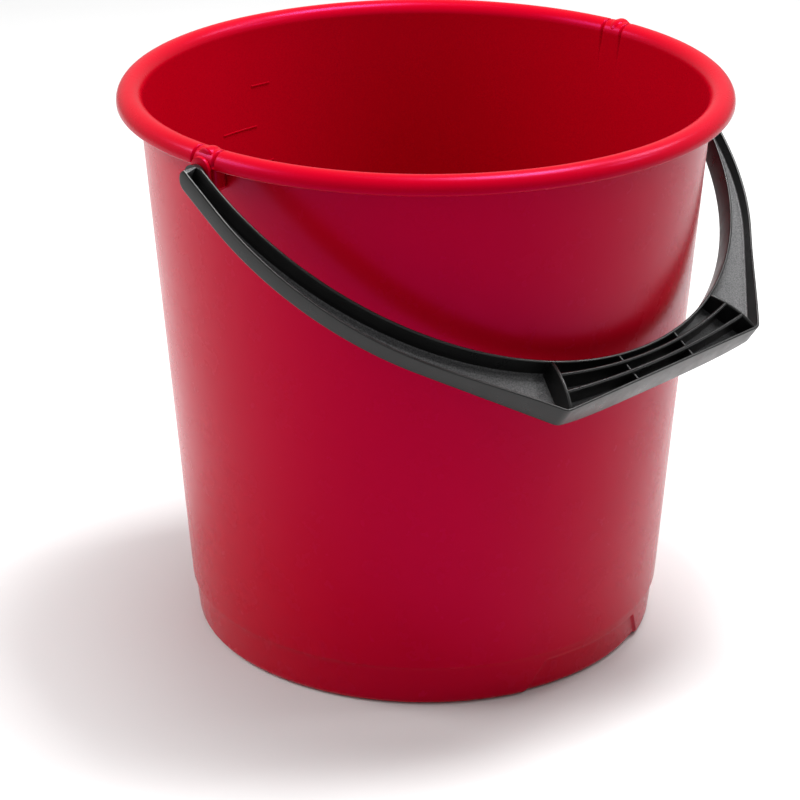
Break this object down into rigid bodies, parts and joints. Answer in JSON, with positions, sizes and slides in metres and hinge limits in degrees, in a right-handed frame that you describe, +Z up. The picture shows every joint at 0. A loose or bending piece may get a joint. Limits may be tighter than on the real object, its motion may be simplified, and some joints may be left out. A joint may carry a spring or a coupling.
{
  "type": "wash bucket",
  "caption": "Round tapered plastic wash bucket with a rolled lip, a foot ring, a tipping recess and a snap-in channel-section bail handle with a ribbed grip.",
  "frame": {"origin": "on the bucket's axis, in the plane that the foot ring stands on", "axes": "+Z up along the bucket's axis; the two handle pivots lie along X, 2.6 mm in front of the bucket's axis; the resting handle hangs towards -Y"},
  "size_m": [0.313, 0.2953, 0.2728],
  "materials": {
    "bucket_red": "satin red moulded polypropylene",
    "handle_black": "fine-grained black moulded polypropylene"
  },
  "bodies": {
    "bucket": {"bucket": "bucket_red"},
    "bail": {"bail_handle": "handle_black"}
  },
  "joints": [
    {"name": "bail_pivot", "type": "hinge", "parent": "bucket", "child": "bail", "pos_m": [0, -0.0026, 0.2615], "axis": [-1, 0, 0], "range_deg": [0, 246]}
  ]
}
